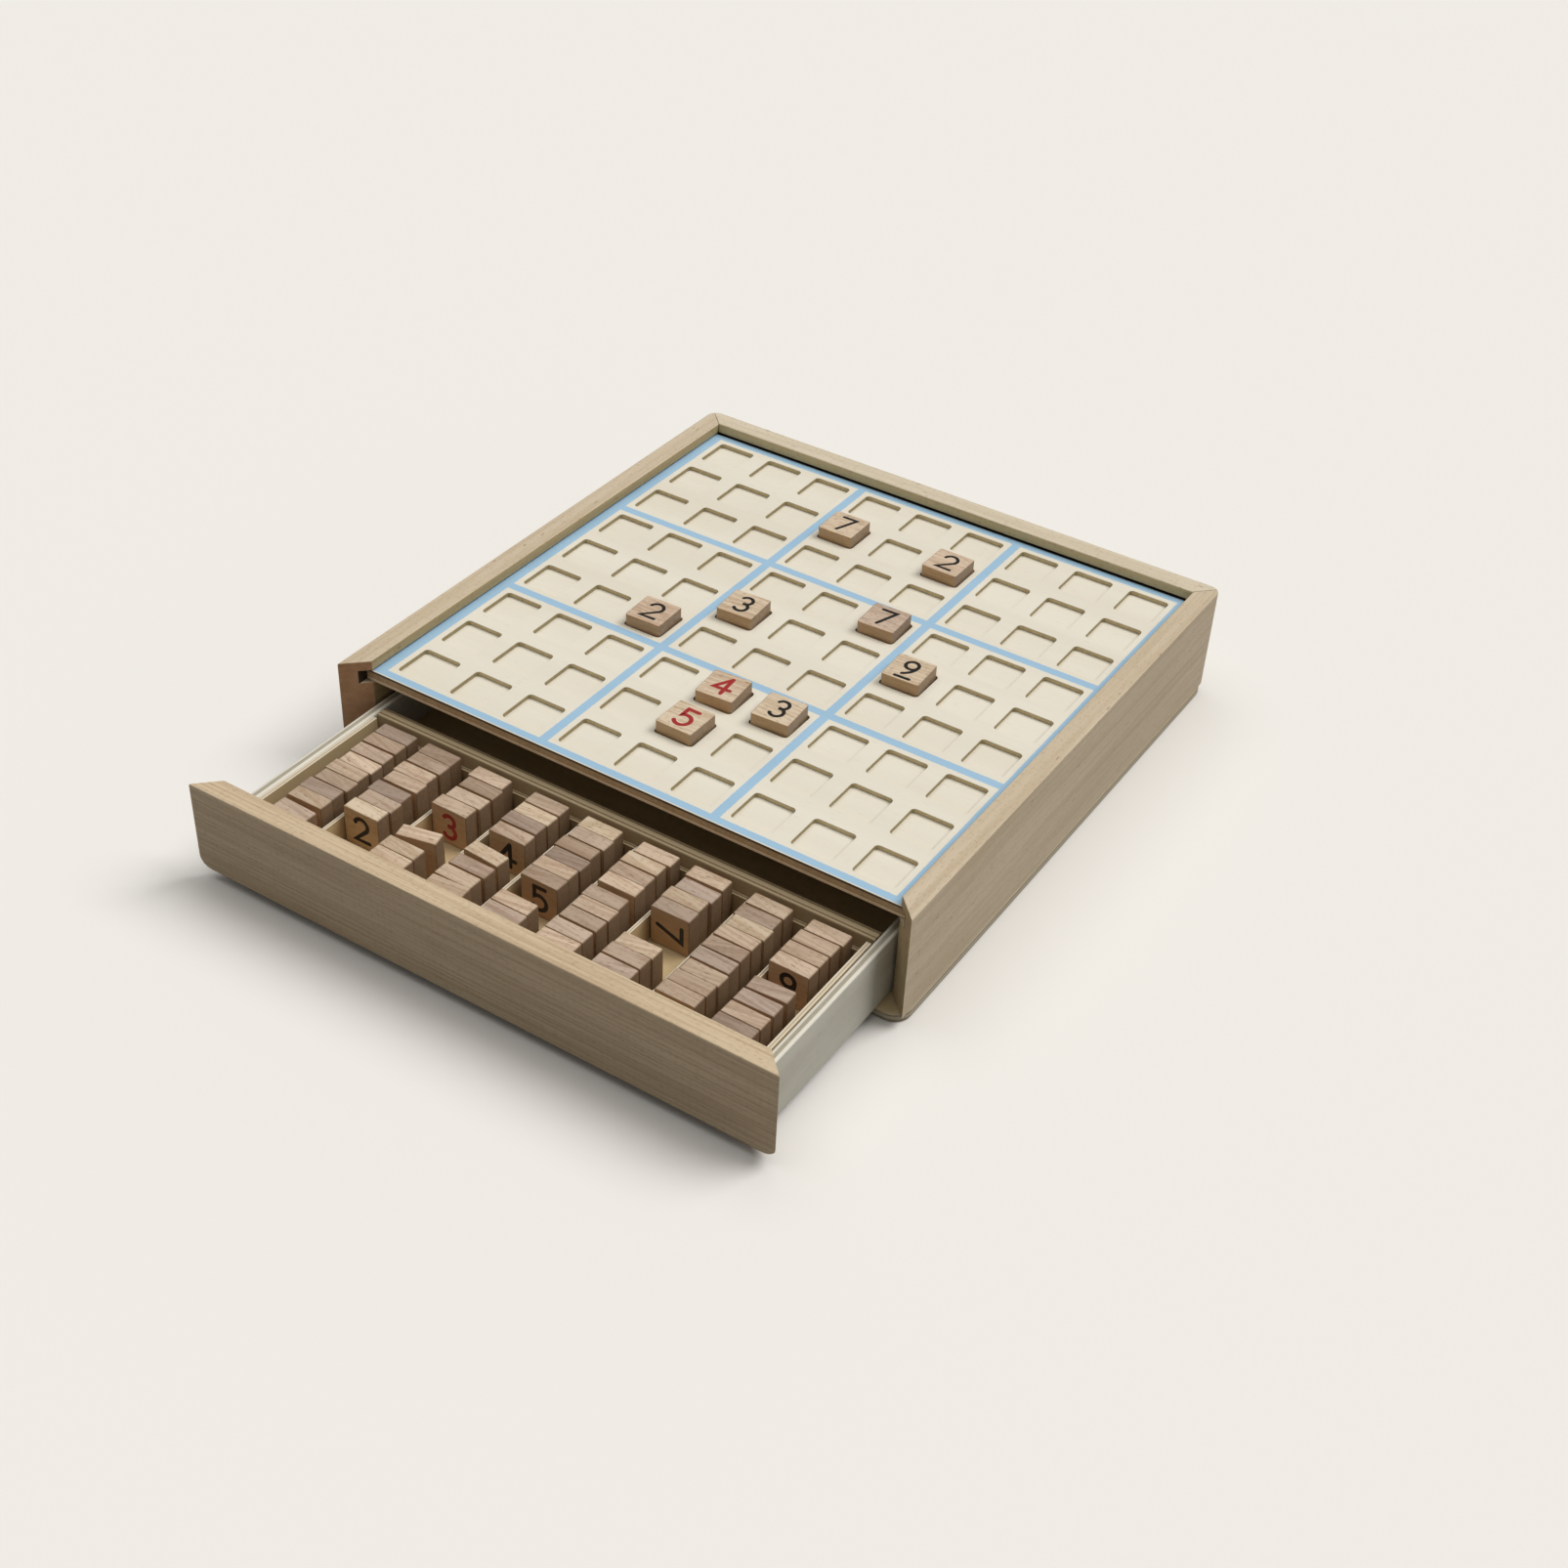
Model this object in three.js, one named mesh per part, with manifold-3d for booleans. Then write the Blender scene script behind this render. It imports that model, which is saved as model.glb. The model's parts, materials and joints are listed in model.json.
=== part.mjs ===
// A wooden sudoku board: a mitred beech case with a sunken playing grid on top, and under the grid a
// pull-out drawer whose front compartments hold the number tiles, one compartment for each digit.
// Millimetres, +Z up. The origin is the centre of the case's underside, and the drawer opens towards -Y.
import * as THREE from 'three';
import { mergeVertices } from 'three/addons/utils/BufferGeometryUtils.js';
import Module from 'manifold-3d';

const wasm = await Module();
wasm.setup();

// Counts
const blocksPerSide = 3;
const cellsPerBlock = 3;
const tilesPerDigit = 9;

// Number tile
const tileSize = 18;
const tileThickness = 7.5;
const tileCornerRadius = 0.9;
const tileEdge = 0.3;

// Playing grid and the base that it is glued to
const cellPitch = 28;
const blockGap = 1;
const recessClearance = 0.75;
const recessCornerRadius = 1.4;
const gridThickness = 2;
const baseThickness = 3;
const fieldMargin = 2.5;
const boardSetback = 0.5;

// Case
const railWidth = 10;
const railHeight = 50.3;
const rimHeight = 5.5;
const boardGrooveDepth = 4;
const grooveHeadroom = 0.8;
const caseCornerRadius = 5;
const railEdge = 0.6;
const bottomThickness = 4.5;
const bottomCornerRadius = 8;
const bottomEdge = 1;

// Drawer
const drawerOpening = 88;
const frontDrop = 8.5;
const frontCornerRadius = 6;
const drawerSideGap = 1.5;
const drawerFloorGap = 0.5;
const drawerRearGap = 3;
const sideThickness = 5;
const sideAboveTiles = 0.3;
const sideEdge = 0.8;
const floorThickness = 3;
const floorRise = 7.5;
const floorGrooveDepth = 3;
const wallThickness = 6;

// Tile tray in the front of the drawer
const compartmentSlack = 12;
const frontStandoff = 9;
const liningThickness = 2;
const dividerThickness = 1.6;
const dividerDrop = 6.5;
const stackShift = 0.5;
const stackTurn = 2.4;
const stackOverlap = 0.05;

// Clearances
const glueLine = 0.2;
const seatGap = 0.3;
const mitreGap = 0.5;
const tileRestGap = 0.2;
const tileEndGap = 0.5;

// Tiles in play: the digit, its column from the left and its row from the drawer side, counted from 0
const tilesInPlay = [
  { digit: 7, column: 3, row: 7 },
  { digit: 2, column: 5, row: 7 },
  { digit: 7, column: 5, row: 5 },
  { digit: 3, column: 3, row: 4 },
  { digit: 9, column: 6, row: 4 },
  { digit: 2, column: 2, row: 3 },
  { digit: 4, column: 4, row: 2 },
  { digit: 3, column: 5, row: 2 },
  { digit: 5, column: 4, row: 1 },
];
// How many stored tiles of each digit have slid to the front of their compartment; the rest stand at its rear
const storedAtFront = [1, 0, 3, 4, 2, 5, 3, 0, 4];
// Where each digit's tiles stand across their compartment, from 0 at its left wall to 1 at its right wall
const placeAcross = [0.66, 0.16, 0.18, 0.4, 0.4, 0.36, 0.16, 0.32, 0.16];

// Plan, from the playing field outwards
const cellsPerSide = blocksPerSide * cellsPerBlock;
const fieldHalf = (cellsPerSide * cellPitch + blocksPerSide * blockGap) / 2;
const insideHalf = fieldHalf + fieldMargin;
const outsideHalf = insideHalf + railWidth;
const boardHalf = insideHalf + boardGrooveDepth - seatGap;
const boardFront = -insideHalf + boardSetback;
const recessSize = tileSize + 2 * recessClearance;

// Heights of the case
const railBottom = bottomThickness + glueLine;
const railTop = railBottom + railHeight;
const gridTop = railTop - rimHeight;
const gridBottom = gridTop - gridThickness;
const baseTop = gridBottom - glueLine;
const baseBottom = baseTop - baseThickness;

// Heights of the drawer
const drawerBottom = bottomThickness + drawerFloorGap;
const floorBottom = drawerBottom + floorRise;
const floorTop = floorBottom + floorThickness;
const trayBottom = floorTop + tileRestGap;
const tileTop = trayBottom + tileSize;
const sideTop = tileTop + sideAboveTiles;
const dividerTop = tileTop - dividerDrop;
const frontTop = railTop - frontDrop;

// Plan of the drawer, as it stands when it is shut
const sideOuter = insideHalf - drawerSideGap;
const sideInner = sideOuter - sideThickness;
const frontInner = -insideHalf;
const sideFront = frontInner + glueLine;
const sideRear = insideHalf - drawerRearGap;
const backInner = sideRear - sideThickness;
const crossHalf = sideInner - glueLine;
const trayRear = frontInner + tilesPerDigit * tileThickness + compartmentSlack;
const stripRear = trayRear + liningThickness;
const wallFront = stripRear + glueLine;
const wallRear = wallFront + wallThickness;
const trayHalf = crossHalf - liningThickness;
const compartmentWidth = (2 * trayHalf - (cellsPerSide - 1) * dividerThickness) / cellsPerSide;
const compartmentPitch = compartmentWidth + dividerThickness;

// Finishes
const beech = { color: 0xcdb48c, roughness: 0.6, metalness: 0 };
const plywood = { color: 0xd8c7a2, roughness: 0.65, metalness: 0 };
const paleSheet = { color: 0xe6deca, roughness: 0.6, metalness: 0 };
const tileWood = { color: 0xc49a6c, roughness: 0.55, metalness: 0 };

// Which way an extruded outline runs: up, along +X from an outline in Y and Z, or along -Y from one in X and Z
const unitX = new THREE.Vector3(1, 0, 0);
const unitY = new THREE.Vector3(0, 1, 0);
const unitZ = new THREE.Vector3(0, 0, 1);
const alongX = new THREE.Matrix4().makeBasis(unitY, unitZ, unitX);
const alongY = new THREE.Matrix4().makeBasis(unitX, unitZ, unitY.clone().negate());

function cellCentre(index) {
  const gaps = Math.floor(index / cellsPerBlock) + 0.5;
  return -fieldHalf + gaps * blockGap + (index + 0.5) * cellPitch;
}

function polygon(points) {
  return new THREE.Shape(points.map(([x, y]) => new THREE.Vector2(x, y)));
}

// A rectangle with rounded corners; PathClass is THREE.Shape for an outline and THREE.Path for a hole
function roundedRectangle(left, bottom, right, top, radius, PathClass = THREE.Shape) {
  const path = new PathClass();
  path.absarc(right - radius, top - radius, radius, 0, Math.PI / 2);
  path.absarc(left + radius, top - radius, radius, Math.PI / 2, Math.PI);
  path.absarc(left + radius, bottom + radius, radius, Math.PI, 1.5 * Math.PI);
  path.absarc(right - radius, bottom + radius, radius, 1.5 * Math.PI, 2 * Math.PI);
  path.closePath();
  return path;
}

// A straight prism from z = 0 to z = depth. An edge above 0 rounds both ends inside the outline.
function prism(shape, depth, { edge = 0, edgeSteps = 2, arcSteps = 1 } = {}) {
  const geometry = new THREE.ExtrudeGeometry(shape, {
    depth: depth - 2 * edge,
    curveSegments: arcSteps,
    bevelEnabled: edge > 0,
    bevelThickness: edge,
    bevelSize: edge,
    bevelOffset: -edge,
    bevelSegments: edgeSteps,
  });
  return geometry.translate(0, 0, edge);
}

// A prism that runs along X from x = start to x = end; its outline is drawn in Y and Z
function prismAlongX(shape, start, end, options) {
  return prism(shape, end - start, options).applyMatrix4(alongX).translate(start, 0, 0);
}

// A prism that runs along Y from y = start to y = end; its outline is drawn in X and Z
function prismAlongY(shape, start, end, options) {
  return prism(shape, end - start, options).applyMatrix4(alongY).translate(0, end, 0);
}

function solidOf(geometry) {
  const bare = geometry.clone();
  bare.deleteAttribute('normal');
  bare.deleteAttribute('uv');
  const merged = mergeVertices(bare);
  return new wasm.Manifold(new wasm.Mesh({
    numProp: 3,
    vertProperties: new Float32Array(merged.attributes.position.array),
    triVerts: new Uint32Array(merged.index.array),
  }));
}

function geometryOf(solid) {
  const mesh = solid.getMesh();
  const geometry = new THREE.BufferGeometry();
  geometry.setAttribute('position', new THREE.BufferAttribute(mesh.vertProperties, 3));
  geometry.setIndex(new THREE.BufferAttribute(mesh.triVerts, 1));
  geometry.computeVertexNormals();
  return geometry;
}

function piece(name, geometry, finish) {
  const mesh = new THREE.Mesh(geometry, new THREE.MeshStandardMaterial(finish));
  mesh.name = name;
  return mesh;
}

// The case's bottom panel, which the rails are glued to
function makeBottom() {
  const outline = roundedRectangle(-outsideHalf, -outsideHalf, outsideHalf, outsideHalf, bottomCornerRadius);
  return piece('case_bottom', prism(outline, bottomThickness, { edge: bottomEdge, arcSteps: 3 }), plywood);
}

// The three rails start as one eased U with the board's groove round its inside, and are cut apart at the
// mitres
function makeRails() {
  const arcCentre = outsideHalf - caseCornerRadius;
  const plan = new THREE.Shape();
  plan.moveTo(-outsideHalf, -outsideHalf);
  plan.lineTo(-insideHalf, -insideHalf);
  plan.lineTo(-insideHalf, insideHalf);
  plan.lineTo(insideHalf, insideHalf);
  plan.lineTo(insideHalf, -insideHalf);
  plan.lineTo(outsideHalf, -outsideHalf);
  plan.absarc(arcCentre, arcCentre, caseCornerRadius, 0, Math.PI / 2);
  plan.absarc(-arcCentre, arcCentre, caseCornerRadius, Math.PI / 2, Math.PI);
  plan.closePath();
  const ring = solidOf(prism(plan, railHeight, { edge: railEdge, arcSteps: 3 }).translate(0, 0, railBottom));

  const grooveHalf = insideHalf + boardGrooveDepth;
  const grooveHeight = gridTop - baseBottom + seatGap + grooveHeadroom;
  const groove = new THREE.BoxGeometry(2 * grooveHalf, grooveHalf + 2 * outsideHalf, grooveHeight);
  groove.translate(0, grooveHalf / 2 - outsideHalf, baseBottom - seatGap + grooveHeight / 2);
  const grooved = ring.subtract(solidOf(groove));

  const reach = 2 * railWidth;
  const inner = insideHalf - reach;
  const outer = insideHalf + reach;
  const backZone = polygon([[-inner, inner], [inner, inner], [outer, outer], [-outer, outer]]);
  const rightZone = polygon([[inner, -inner], [outer, -outer], [outer, outer], [inner, inner]]);
  const leftZone = polygon([[-inner, inner], [-outer, outer], [-outer, -outer], [-inner, -inner]]);
  const cut = (zone, shiftY) => {
    const block = prism(zone, railTop + railHeight).translate(0, shiftY, -railHeight / 2);
    return geometryOf(grooved.intersect(solidOf(block)));
  };
  return [
    piece('back_rail', cut(backZone, glueLine), beech),
    piece('left_rail', cut(leftZone, -glueLine), beech),
    piece('right_rail', cut(rightZone, -glueLine), beech),
  ];
}

// The playing field: a thin sheet cut through at every cell, on a plain base that shows as the cells' floors
function makeBoard() {
  const outline = () => polygon([
    [-boardHalf, boardFront],
    [boardHalf, boardFront],
    [boardHalf, boardHalf],
    [-boardHalf, boardHalf],
  ]);
  const sheet = outline();
  for (let row = 0; row < cellsPerSide; row += 1) {
    for (let column = 0; column < cellsPerSide; column += 1) {
      const left = cellCentre(column) - recessSize / 2;
      const front = cellCentre(row) - recessSize / 2;
      const right = left + recessSize;
      const back = front + recessSize;
      sheet.holes.push(roundedRectangle(left, front, right, back, recessCornerRadius, THREE.Path));
    }
  }
  return [
    piece('board_base', prism(outline(), baseThickness).translate(0, 0, baseBottom), paleSheet),
    piece('playing_grid', prism(sheet, gridThickness, { arcSteps: 2 }).translate(0, 0, gridBottom), paleSheet),
  ];
}

// The drawer front closes the case's open side: its lower corners are rounded, and its ends are mitred to meet
// the rails' front ends
function makeDrawerFront() {
  const arcX = outsideHalf - frontCornerRadius;
  const arcZ = drawerBottom + frontCornerRadius;
  const face = new THREE.Shape();
  face.moveTo(outsideHalf, frontTop);
  face.lineTo(-outsideHalf, frontTop);
  face.absarc(-arcX, arcZ, frontCornerRadius, Math.PI, 1.5 * Math.PI);
  face.absarc(arcX, arcZ, frontCornerRadius, 1.5 * Math.PI, 2 * Math.PI);
  face.closePath();
  const plank = solidOf(prismAlongY(face, -outsideHalf, frontInner, { edge: railEdge, arcSteps: 4 }));
  const outerHalf = outsideHalf - mitreGap;
  const mitres = polygon([
    [-outerHalf - railWidth, -outsideHalf - railWidth],
    [outerHalf + railWidth, -outsideHalf - railWidth],
    [outerHalf - 2 * railWidth, frontInner + railWidth],
    [-outerHalf + 2 * railWidth, frontInner + railWidth],
  ]);
  const grooveHalf = sideInner + floorGrooveDepth;
  const groove = new THREE.BoxGeometry(2 * grooveHalf, 2 * floorGrooveDepth, floorThickness + 2 * seatGap);
  groove.translate(0, frontInner, (floorBottom + floorTop) / 2);
  const block = solidOf(prism(mitres, railTop + railHeight).translate(0, 0, -railHeight / 2));
  return piece('drawer_front', geometryOf(plank.intersect(block).subtract(solidOf(groove))), beech);
}

// The section of an upright board that stands from the drawer's lower edge to its upper one, with eased upper
// edges and a groove for the drawer's floor in the face on the side that `inward` points to
function groovedSection(outer, inward) {
  const inner = outer + inward * sideThickness;
  const grooveEnd = inner - inward * floorGrooveDepth;
  return polygon([
    [outer, drawerBottom],
    [inner, drawerBottom],
    [inner, floorBottom - seatGap],
    [grooveEnd, floorBottom - seatGap],
    [grooveEnd, floorTop + seatGap],
    [inner, floorTop + seatGap],
    [inner, sideTop - sideEdge],
    [inner - inward * sideEdge, sideTop],
    [outer + inward * sideEdge, sideTop],
    [outer, sideTop - sideEdge],
  ]);
}

// The drawer's box behind its front: two sides, a back, and a floor that sits in grooves on all four
function makeDrawerBox() {
  const floorHalf = sideInner + floorGrooveDepth - seatGap;
  const floorFront = frontInner - floorGrooveDepth + seatGap;
  const floorRear = backInner + floorGrooveDepth - seatGap;
  const floor = new THREE.BoxGeometry(2 * floorHalf, floorRear - floorFront, floorThickness);
  floor.translate(0, (floorFront + floorRear) / 2, (floorBottom + floorTop) / 2);
  return [
    piece('drawer_left_side', prismAlongY(groovedSection(-sideOuter, 1), sideFront, sideRear), plywood),
    piece('drawer_right_side', prismAlongY(groovedSection(sideOuter, -1), sideFront, sideRear), plywood),
    piece('drawer_back', prismAlongX(groovedSection(sideRear, -1), -crossHalf, crossHalf), plywood),
    piece('drawer_floor', floor, plywood),
  ];
}

// The tray's walls: a cross wall as high as the drawer's sides, a slotted strip on it that takes the dividers'
// tongues, and a lining at each end, level with the drawer's sides
function makeTrayWalls() {
  const wall = polygon([
    [wallFront, trayBottom],
    [wallRear, trayBottom],
    [wallRear, sideTop - sideEdge],
    [wallRear - sideEdge, sideTop],
    [wallFront + sideEdge, sideTop],
    [wallFront, sideTop - sideEdge],
  ]);
  const slotBottom = (trayBottom + dividerTop) / 2;
  const slotHalf = dividerThickness / 2 + seatGap;
  const slots = [];
  for (let index = 0; index < cellsPerSide - 1; index += 1) {
    const x = dividerCentre(index);
    slots.push([x - slotHalf, dividerTop], [x - slotHalf, slotBottom]);
    slots.push([x + slotHalf, slotBottom], [x + slotHalf, dividerTop]);
  }
  const strip = polygon([[crossHalf, trayBottom], [-crossHalf, trayBottom], [-crossHalf, dividerTop], ...slots,
    [crossHalf, dividerTop]]);
  const liningRear = trayRear - glueLine;
  const lining = polygon([
    [sideFront, trayBottom],
    [liningRear, trayBottom],
    [liningRear, sideTop],
    [sideFront, sideTop],
  ]);
  return [
    piece('tray_cross_wall', prismAlongX(wall, -crossHalf, crossHalf), plywood),
    piece('tray_rear_strip', prismAlongY(strip, trayRear, stripRear), plywood),
    piece('tray_left_lining', prismAlongX(lining, -crossHalf, -trayHalf), plywood),
    piece('tray_right_lining', prismAlongX(lining, trayHalf, crossHalf), plywood),
  ];
}

function dividerCentre(index) {
  return -trayHalf + (index + 1) * compartmentPitch - dividerThickness / 2;
}

// The dividers run from the drawer front to the cross wall; each has a tongue that drops into the rear strip
function makeDividers() {
  const lowerRear = trayRear - seatGap;
  const tongueRear = wallFront - seatGap;
  const tongueBottom = (trayBottom + dividerTop) / 2 + seatGap;
  const outline = polygon([
    [sideFront, trayBottom],
    [lowerRear, trayBottom],
    [lowerRear, tongueBottom],
    [tongueRear, tongueBottom],
    [tongueRear, dividerTop],
    [sideFront, dividerTop],
  ]);
  const dividers = [];
  for (let index = 0; index < cellsPerSide - 1; index += 1) {
    const left = dividerCentre(index) - dividerThickness / 2;
    const geometry = prismAlongX(outline, left, left + dividerThickness);
    dividers.push(piece(`divider_${index + 1}`, geometry, plywood));
  }
  return dividers;
}

// One tile lies in each cell in play, on the floor of its recess
function makeTilesInPlay() {
  const half = tileSize / 2;
  const outline = roundedRectangle(-half, -half, half, half, tileCornerRadius);
  return tilesInPlay.map(({ digit, column, row }) => {
    const geometry = prism(outline, tileThickness, { edge: tileEdge, edgeSteps: 1 });
    geometry.translate(cellCentre(column), cellCentre(row), baseTop + tileRestGap);
    return piece(`tile_${digit}_row${row + 1}_column${column + 1}`, geometry, tileWood);
  });
}

// Stored tiles stand on edge, face to face, a little out of line with each other
function makeStack(name, count, left, front) {
  let stack = null;
  for (let index = 0; index < count; index += 1) {
    const side = left + stackShift * Math.sin(stackTurn * index);
    const outline = roundedRectangle(side, trayBottom, side + tileSize, tileTop, tileCornerRadius);
    const start = front + index * tileThickness;
    const overlap = index < count - 1 ? stackOverlap : 0;
    const tile = solidOf(prismAlongY(outline, start, start + tileThickness + overlap));
    stack = stack ? stack.add(tile) : tile;
  }
  return piece(name, geometryOf(stack), tileWood);
}

// Each compartment holds what is left of its digit's tiles: some slid to the front, the rest at the rear
function makeStoredTiles() {
  const stacks = [];
  storedAtFront.forEach((atFront, index) => {
    const digit = index + 1;
    const inPlay = tilesInPlay.filter((tile) => tile.digit === digit).length;
    const atRear = tilesPerDigit - inPlay - atFront;
    const slack = compartmentWidth - tileSize;
    const left = -trayHalf + index * compartmentPitch + placeAcross[index] * slack;
    const rearStart = trayRear - tileEndGap - atRear * tileThickness;
    stacks.push(makeStack(`stored_${digit}s_rear`, atRear, left, rearStart));
    if (atFront > 0) {
      stacks.push(makeStack(`stored_${digit}s_front`, atFront, left, frontInner + frontStandoff));
    }
  });
  return stacks;
}

const drawer = new THREE.Group();
drawer.add(makeDrawerFront(), ...makeDrawerBox(), ...makeTrayWalls(), ...makeDividers(), ...makeStoredTiles());
drawer.position.y = -drawerOpening;

const sudokuBoard = new THREE.Group();
sudokuBoard.add(makeBottom(), ...makeRails(), ...makeBoard(), ...makeTilesInPlay(), drawer);

export default sudokuBoard;
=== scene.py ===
# Looks of a wooden sudoku board with a tile drawer: finishes of the case, the board and the drawer,
# finely rounded tiles with printed digits, light, floor and camera. Metres, in the part's own frame.
import json
import math
import random

import bmesh
import bpy
from mathutils import Matrix, Vector


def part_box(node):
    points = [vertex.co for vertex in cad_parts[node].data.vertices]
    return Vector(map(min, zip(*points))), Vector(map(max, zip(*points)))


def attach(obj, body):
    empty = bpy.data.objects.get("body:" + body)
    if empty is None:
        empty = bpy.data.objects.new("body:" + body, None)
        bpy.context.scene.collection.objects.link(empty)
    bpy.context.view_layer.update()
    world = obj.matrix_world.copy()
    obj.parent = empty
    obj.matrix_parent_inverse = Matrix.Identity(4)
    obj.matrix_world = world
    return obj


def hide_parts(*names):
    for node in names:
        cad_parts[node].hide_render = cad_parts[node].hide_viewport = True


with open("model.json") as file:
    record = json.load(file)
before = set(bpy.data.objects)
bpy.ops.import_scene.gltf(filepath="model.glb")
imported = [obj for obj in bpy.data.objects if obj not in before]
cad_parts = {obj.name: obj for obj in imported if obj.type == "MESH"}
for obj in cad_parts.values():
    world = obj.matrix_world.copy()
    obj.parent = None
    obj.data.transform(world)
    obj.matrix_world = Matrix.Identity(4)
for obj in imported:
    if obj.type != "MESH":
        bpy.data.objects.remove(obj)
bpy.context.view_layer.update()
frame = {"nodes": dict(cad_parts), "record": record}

MM = 0.001

# Tiles
TILE_SIZE = 18 * MM
TILE_THICKNESS = 7.5 * MM
TILE_CORNER = 0.9 * MM
TILE_EDGE = 0.25 * MM
CORNER_STEPS = 5
EDGE_STEPS = 3

# Digits printed on the tiles
DIGIT_HEIGHT = 11.2 * MM
PLAY_STROKES = {"black": 1.6 * MM, "red": 1.9 * MM}
STORED_STROKE = 1.9 * MM
INK_DEPTH = 0.05 * MM
STROKE_STEP = 0.02 * MM
ARC_STEP = math.radians(9)
# Rounded ends of a stroke, and the least cosine by which a bend widens it
CAP_STEPS = 4
CAP_SWEEP = math.radians(84)
LEAST_COSINE = 0.5

# Board
CELLS = 9
CELLS_PER_BLOCK = 3
CELL_PITCH = 28 * MM
BLOCK_PITCH = 85 * MM
RECESS_SIZE = 19.5 * MM
RECESS_CORNER = 1.9 * MM
LINE_WIDTH = 4.2 * MM
BORDER_START = 125.4 * MM
LINE_BLUR = 0.1 * MM
PRINT_DEPTH = 0.25 * MM
# The print stops short of the front edge, and the thin cream strip left there is a painted highlight
PRINT_FRONT = -129.0 * MM
FRONT_EDGE = -128.0 * MM
# Where a strip of painted shade starts along the board's back, for the shadowed gap at the back rail
SHADE_STRIP_START = 129.0 * MM
# Heights on its front edge where the dark core starts and the pale veneer ends
EDGE_CORE = 48.3 * MM
EDGE_VENEER = 45.8 * MM
EDGE_BLUR = 0.12 * MM
# How far printed lines and layers stray: the span of a noise, and where it starts
STRAY = (0.5 * MM, -0.25 * MM)

# Grooves of the rails that hold the board, which get painted shade: how far from the middle they end, their
# level and half height
GROOVE_END = 134.3 * MM
GROOVE_LEVEL = 47.2 * MM
GROOVE_HALF = 3.15 * MM

# Smooth shading of the frame's rounded edges. Points nearer than the merge distance count as one.
MERGE_DISTANCE = 0.001 * MM
SHARP_ANGLE = math.radians(50)
UPRIGHT_SHARPER = math.radians(12)

# Camera, from a fit to the photograph's view
CAMERA_PLACE = Vector((0.412, -0.687, 0.586))
CAMERA_AZIMUTH = math.radians(31.1)
CAMERA_ELEVATION = math.radians(37.7)
CAMERA_ROLL = math.radians(-3)
CAMERA_LENS = 50.3
SENSOR = 36.0


def colour(red, green, blue):
    """A display colour from 0 to 255 as the linear colour that a shader takes, by the sRGB curve."""
    linear = []
    for channel in (red, green, blue):
        share = channel / 255
        linear.append(share / 12.92 if share <= 0.04045 else ((share + 0.055) / 1.055) ** 2.4)
    return (*linear, 1.0)


def add_node(tree, kind, inputs=None, **settings):
    """Adds a node to a tree, sets or links its inputs, and returns its outputs."""
    node = tree.nodes.new(kind)
    for name, value in settings.items():
        setattr(node, name, value)
    for key, value in (inputs or {}).items():
        if isinstance(value, bpy.types.NodeSocket):
            tree.links.new(value, node.inputs[key])
        else:
            node.inputs[key].default_value = value
    return node.outputs


def add_object(name, data):
    """Puts a new object into the scene."""
    thing = bpy.data.objects.new(name, data)
    bpy.context.scene.collection.objects.link(thing)
    return thing


# Sockets of a mix node that mixes colours
MIX_FACTOR, MIX_FIRST, MIX_SECOND = 0, 6, 7
MIX_RESULT = 2
# Shine and depth of relief of all the wood and ink
SPECULAR = 0.35
BUMP_DEPTH = 0.1 * MM


class Shade:
    """A material's node tree, with short ways to add nodes."""

    def __init__(self, name):
        self.material = bpy.data.materials.new(name)
        self.material.use_nodes = True
        self.tree = self.material.node_tree
        self.shader = self.tree.nodes["Principled BSDF"]

    def add(self, kind, inputs=None, **settings):
        return add_node(self.tree, "ShaderNode" + kind, inputs, **settings)

    def math(self, operation, *values):
        return self.add("Math", dict(enumerate(values)), operation=operation)[0]

    def mix(self, factor, first, second, how="MIX"):
        inputs = {MIX_FACTOR: factor, MIX_FIRST: first, MIX_SECOND: second}
        return self.add("Mix", inputs, data_type="RGBA", blend_type=how)[MIX_RESULT]

    def ramp(self, value, low, high, start=0.0, end=1.0):
        inputs = {"Value": value, "From Min": low, "From Max": high, "To Min": start, "To Max": end}
        return self.add("MapRange", inputs, interpolation_type="SMOOTHSTEP")[0]

    def stretched(self, place, scale):
        return self.add("VectorMath", {0: place, 1: scale}, operation="MULTIPLY")[0]

    def noise(self, place, scale, detail=2.0, roughness=0.5):
        inputs = {"Vector": self.stretched(place, scale), "Scale": 1.0}
        inputs.update({"Detail": detail, "Roughness": roughness})
        return self.add("TexNoise", inputs)[0]

    def axes(self, vector):
        return self.add("SeparateXYZ", {0: vector})

    def attribute(self, name):
        return self.add("Attribute", attribute_name=name)

    def part_place(self):
        return self.add("TexCoord")["Object"]

    def facing(self):
        """The three parts of the surface's direction."""
        return self.axes(self.add("NewGeometry")["Normal"])

    def grain_place(self, along, shift):
        """The part's own coordinates with the grain's axis first, moved so that no two boards look alike."""
        axes = self.axes(self.part_place())
        order = {"X": "XYZ", "Y": "YXZ", "Z": "ZXY"}[along]
        turned = self.add("CombineXYZ", {place: axes[axis] for place, axis in zip("XYZ", order)})[0]
        return self.add("VectorMath", {0: turned, 1: shift}, operation="ADD")[0]

    def finish(self, base, height, roughness, bump=0.2):
        normal = self.add("Bump", {"Height": height, "Strength": bump, "Distance": BUMP_DEPTH})[0]
        self.tree.links.new(base, self.shader.inputs["Base Color"])
        self.tree.links.new(roughness, self.shader.inputs["Roughness"])
        self.tree.links.new(normal, self.shader.inputs["Normal"])
        self.shader.inputs["Specular IOR Level"].default_value = SPECULAR
        return self.material


# In the values of the materials below, a pattern is its waves to the metre along the grain and across it,
# and then its detail and roughness where they aren't the usual ones. Flecks are their cells to the metre,
# the share of cells with a fleck, and its size. A range is where a change starts and ends. A roughness is
# how far the fibre changes it, and its least.

# The share of a fleck's size within which it is fully dark
FLECK_MIDDLE = 0.5


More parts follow.
